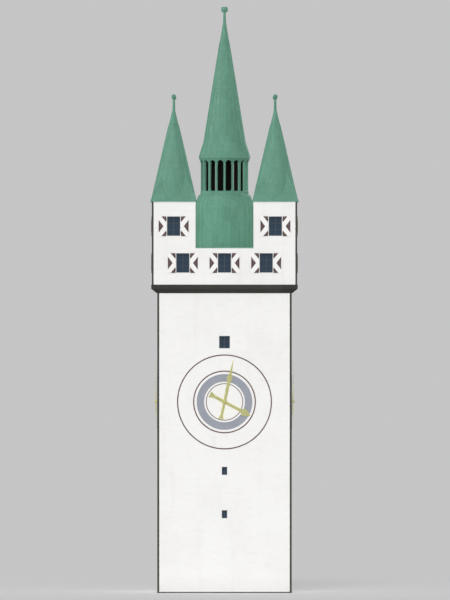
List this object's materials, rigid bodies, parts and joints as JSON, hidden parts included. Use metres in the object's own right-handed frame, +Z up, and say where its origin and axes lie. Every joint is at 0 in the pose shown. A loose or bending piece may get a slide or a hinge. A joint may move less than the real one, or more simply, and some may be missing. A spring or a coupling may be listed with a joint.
{
  "type": "clock tower",
  "caption": "Square clock tower with a jettied keeper's storey, spired corner turrets, a copper drum with an open arcaded lantern under a tall spire, and turning clock hands.",
  "frame": {"origin": "centre of the tower's square plan, at ground level", "axes": "+Z up, -Y towards the front dial of the drawing, +X to the right as seen from the front"},
  "size_m": [9.98, 9.98, 39.76],
  "materials": {
    "white_render": "white lime render on masonry",
    "dark_stone": "dark grey stone",
    "boards": "floor boards on joists",
    "green_copper": "patinated copper sheet over boarded timber framing",
    "dark_timber": "weathered timber",
    "window_frame": "dark painted timber",
    "window_glass": "dark window glass",
    "painted_shutter": "brown and white painted boards",
    "chapter_ring": "blue-grey painted sheet",
    "gilded": "gilded sheet"
  },
  "bodies": {
    "tower": {"shaft_wall_front": "white_render", "shaft_wall_right": "white_render", "shaft_wall_back": "white_render", "shaft_wall_left": "white_render", "cornice_front": "dark_stone", "cornice_right": "dark_stone", "cornice_back": "dark_stone", "cornice_left": "dark_stone", "keeper_floor": "boards", "keeper_wall_front": "white_render", "keeper_wall_right": "white_render", "keeper_wall_back": "white_render", "keeper_wall_left": "white_render", "roof_deck": "green_copper", "turret_front_right": "white_render", "turret_back_right": "white_render", "turret_back_left": "white_render", "turret_front_left": "white_render", "turret_spire_front_right": "green_copper", "turret_spire_back_right": "green_copper", "turret_spire_back_left": "green_copper", "turret_spire_front_left": "green_copper", "turret_finials": "green_copper", "drum": "green_copper", "lantern_floor": "green_copper", "lantern_columns": "green_copper", "lantern_arches": "green_copper", "spire": "green_copper", "spire_finial": "green_copper", "king_post": "dark_timber", "lantern_posts": "dark_timber", "lantern_ceiling": "dark_timber", "shaft_frames": "window_frame", "shaft_glass": "window_glass", "keeper_frames": "window_frame", "keeper_glass": "window_glass", "turret_frames": "window_frame", "turret_glass": "window_glass", "keeper_shutters": "painted_shutter", "turret_shutters": "painted_shutter", "dial_rings": "chapter_ring", "hand_bushes": "gilded"},
    "minute_hand_front": {"minute_hand_front": "gilded"},
    "hour_hand_front": {"hour_hand_front": "gilded"},
    "minute_hand_right": {"minute_hand_right": "gilded"},
    "hour_hand_right": {"hour_hand_right": "gilded"},
    "minute_hand_back": {"minute_hand_back": "gilded"},
    "hour_hand_back": {"hour_hand_back": "gilded"},
    "minute_hand_left": {"minute_hand_left": "gilded"},
    "hour_hand_left": {"hour_hand_left": "gilded"}
  },
  "joints": [
    {"name": "minute_turn_front", "type": "hinge", "parent": "tower", "child": "minute_hand_front", "pos_m": [0, -4.55, 12.93], "axis": [0, 1, 0], "continuous": true},
    {"name": "hour_turn_front", "type": "hinge", "parent": "tower", "child": "hour_hand_front", "pos_m": [0, -4.55, 12.93], "axis": [0, 1, 0], "continuous": true},
    {"name": "minute_turn_right", "type": "hinge", "parent": "tower", "child": "minute_hand_right", "pos_m": [4.55, 0, 12.93], "axis": [-1, 0, 0], "continuous": true},
    {"name": "hour_turn_right", "type": "hinge", "parent": "tower", "child": "hour_hand_right", "pos_m": [4.55, 0, 12.93], "axis": [-1, 0, 0], "continuous": true},
    {"name": "minute_turn_back", "type": "hinge", "parent": "tower", "child": "minute_hand_back", "pos_m": [0, 4.55, 12.93], "axis": [0, -1, 0], "continuous": true},
    {"name": "hour_turn_back", "type": "hinge", "parent": "tower", "child": "hour_hand_back", "pos_m": [0, 4.55, 12.93], "axis": [0, -1, 0], "continuous": true},
    {"name": "minute_turn_left", "type": "hinge", "parent": "tower", "child": "minute_hand_left", "pos_m": [-4.55, 0, 12.93], "axis": [1, 0, 0], "continuous": true},
    {"name": "hour_turn_left", "type": "hinge", "parent": "tower", "child": "hour_hand_left", "pos_m": [-4.55, 0, 12.93], "axis": [1, 0, 0], "continuous": true}
  ],
  "couplings": [
    {"joint": "hour_turn_front", "follows": "minute_turn_front", "ratio": 0.083333},
    {"joint": "minute_turn_right", "follows": "minute_turn_front", "ratio": 1},
    {"joint": "hour_turn_right", "follows": "minute_turn_front", "ratio": 0.083333},
    {"joint": "minute_turn_back", "follows": "minute_turn_front", "ratio": 1},
    {"joint": "hour_turn_back", "follows": "minute_turn_front", "ratio": 0.083333},
    {"joint": "minute_turn_left", "follows": "minute_turn_front", "ratio": 1},
    {"joint": "hour_turn_left", "follows": "minute_turn_front", "ratio": 0.083333}
  ]
}
